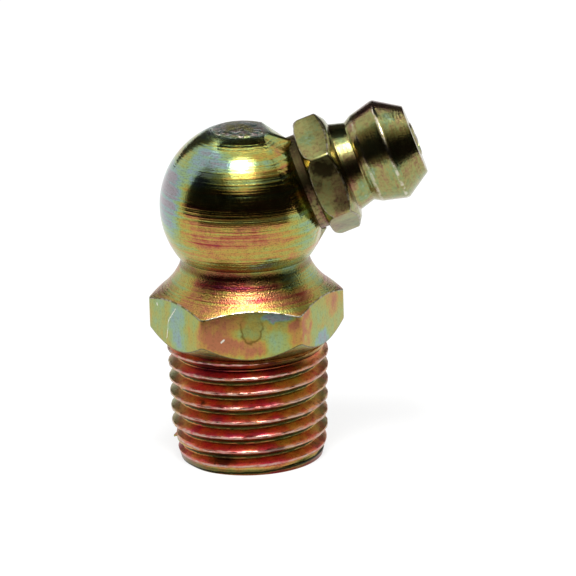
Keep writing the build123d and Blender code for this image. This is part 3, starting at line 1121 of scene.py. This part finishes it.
# %% Put the finishes on
body_finish = [turned, worn_edge_and_painted_highlight, drawn, cut]
nipple_finish = [olive_turned, worn_edge_and_painted_highlight, olive_flats, olive_collar]
for number in range(4):
    body.data.materials[number] = body_finish[number]
    nipple.data.materials[number] = nipple_finish[number]
valve_ball.data.materials.append(ball_steel)
valve_spring.data.materials.append(wire)
for piece in (body, nipple, valve_ball, valve_spring):
    print(piece.name, [material.name for material in piece.data.materials])

# %% [markdown]
# ## The studio
# Polished metal shows its surroundings, so they matter as much as its colour. The fitting stands on white
# paper in a pale room. Paper and world are bright only for the rays that see them, straight or in a mirror,
# so that they look white and still don't flood the fitting with light.

# %% World and floor
scene.view_settings.view_transform = "Standard"


def background_rays():
    """1 for camera, glossy and transmission rays, and 0 for the rays that only carry light."""
    rays = add_node("LightPath").outputs
    seen = add_node("Math ADD", rays["Is Camera Ray"], rays["Is Glossy Ray"])
    return add_node("Math ADD", seen, rays["Is Transmission Ray"], use_clamp=True)


world = bpy.data.worlds.new("studio")
scene.world = world
begin_tree(world)
level = add_node("MapRange", {"Value": background_rays(), "To Min": 0.6, "To Max": 1.0})
light = add_node("Background", (1, 1, 1, 1), level)
add_node("OutputWorld", light)

deselect()
bpy.ops.mesh.primitive_plane_add(size=4)
floor = bpy.context.object
floor.name = "floor"
paper = new_material("white_paper")
strength = add_node("Math MULTIPLY", background_rays(), 0.78)
glow = add_node("Emission", (1, 1, 1, 1), strength)
matt = add_node("BsdfDiffuse", "#8C8C8C")
add_node("OutputMaterial", add_node("AddShader", glow, matt))
floor.data.materials.append(paper)
print("floor", floor.dimensions[:2], "m")

# %% [markdown]
# ## Cloths
# A polished ball mirrors the whole room, so the room needs dark things in it. A black cloth stands round the
# front, below the lamp, and its top edge dips in a V. A brown cloth rises behind it, a grey one stands round
# the back, and a hem of the black one lies on the paper. They are seen only in reflections and throw no
# shadow.

# %% Stand the cloths round the fitting
front_heading = -93                        # degrees from +X, where the lamp and the cloths' dip stand
cloth_turn = 7                             # the cloths' middle lies this much further round


def stage_piece(piece, colour, glowing=0.0):
    """A board that is seen only in reflections and throws no shadow."""
    made = new_material(piece.name)
    if glowing:
        surface = add_node("Emission", colour, glowing)
    else:
        surface = add_node("BsdfDiffuse", colour)
    add_node("OutputMaterial", surface)
    piece.data.materials.append(made)
    piece.visible_camera = piece.visible_diffuse = piece.visible_shadow = False


def curved_sheet(name, outline, middle, reach, steps):
    """An outline spun to both sides of a heading, by a reach in degrees."""
    piece = drawn_outline(name, outline)
    bpy.ops.mesh.select_all(action="SELECT")
    bpy.ops.mesh.spin(steps=steps, angle=radians(2 * reach), center=(0, 0, 0), axis=(0, 0, 1))
    bpy.ops.object.mode_set(mode="OBJECT")
    piece.rotation_euler = (0, 0, radians(middle + reach))
    bpy.ops.object.transform_apply(rotation=True)
    return piece


def cloth(name, distance, low, high, middle, reach, colour, dip=0.0):
    """A standing cloth between two elevations, in degrees. Its top can dip at the front, in a V."""
    low_edge, top_edge = distance * tan(radians(low)), distance * tan(radians(high))
    piece = curved_sheet(name, [(distance, low_edge), (distance, top_edge)], middle, reach, 96)
    for corner in piece.data.vertices:
        if corner.co.z > top_edge - 0.001:
            aside = abs(remainder(degrees(atan2(corner.co.y, corner.co.x)) - front_heading, 360))
            corner.co.z = distance * tan(radians(high - dip * max(0.0, 1 - aside / 45)))
    stage_piece(piece, colour)


cloth("front_cloth", 0.17, 0, 43, front_heading + cloth_turn, 96, "#1E1D1F", 10)
hem = curved_sheet("front_hem", [(0.06, 0.0005), (0.17, 0.0005)], front_heading, 62, 48)
stage_piece(hem, "#70655A")
cloth("upper_cloth", 0.18, 28, 55, front_heading + cloth_turn, 96, "#AA9F84", 22)
cloth("back_cloth", 0.6, 8, 46, front_heading + 180, 38, "#4A4540")

# %% [markdown]
# ## The ceiling
# A dark ceiling with five sides hangs behind the lamp and gives the ball's top its dark patch. Thin glowing
# strips under four of its sides are the bright rims that a lamp's housing shows.

# %% Hang the ceiling and its bright rims
ceiling_height, rim_height = 0.31, 0.305
ceiling_corners = [(0.11, 0.32), (-0.09, 0.32), (-0.15, 0.085), (0.01, 0.02), (0.18, 0.085)]


def strip(name, start, end, width, strength):
    """A thin glowing strip under the ceiling, from one (x, y) point to another."""
    middle = [(a + b) / 2 for a, b in zip(start, end)]
    deselect()
    bpy.ops.mesh.primitive_plane_add(size=1, location=(middle[0], middle[1], rim_height))
    piece = bpy.context.object
    piece.name = name
    run = Vector((end[0] - start[0], end[1] - start[1], 0))
    piece.scale = (run.length, width, 1)
    piece.rotation_euler = (0, 0, atan2(run.y, run.x))
    stage_piece(piece, "#FFFFFF", strength)


deselect()
bpy.ops.mesh.primitive_circle_add(vertices=5, radius=0.1, fill_type="NGON")
ceiling = bpy.context.object
ceiling.name = "ceiling"
for corner, (x, y) in zip(ceiling.data.vertices, ceiling_corners):
    corner.co = (x, y, ceiling_height)
stage_piece(ceiling, "#161616")
for number in range(1, 5):
    strip(f"ceiling_rim_{number}", ceiling_corners[number], ceiling_corners[(number + 1) % 5], 0.008, 6.0)
print("ceiling over", len(ceiling_corners), "corners at", ceiling_height, "m")

# %% [markdown]
# ## Lamps
# One soft lamp lights the fitting from above and in front. Two area lights stand for it: a small bright core
# and a wide faint glow, because a softbox is brightest in its middle.

# %% Hang the lamps
def area_light(name, elevation, distance, width, height, power):
    """A soft lamp that faces the ball from the front, from an elevation in degrees."""
    a, e = radians(front_heading), radians(elevation)
    away = Vector((cos(a) * cos(e), sin(a) * cos(e), sin(e)))
    lamp = bpy.data.objects.new(name, bpy.data.lights.new(name, "AREA"))
    lamp.data.shape = "RECTANGLE"
    lamp.data.size = width
    lamp.data.size_y = height
    lamp.data.energy = power
    lamp.location = Vector((0, 0, 0.015)) + away * distance
    lamp.rotation_euler = away.to_track_quat("Z", "Y").to_euler()
    scene.collection.objects.link(lamp)
    print(name, power, "W at", [round(x, 3) for x in lamp.location])


area_light("lamp_core", 70, 0.6, 0.09, 0.12, 1.1)
area_light("lamp_glow", 68, 0.62, 0.3, 0.26, 1.6)
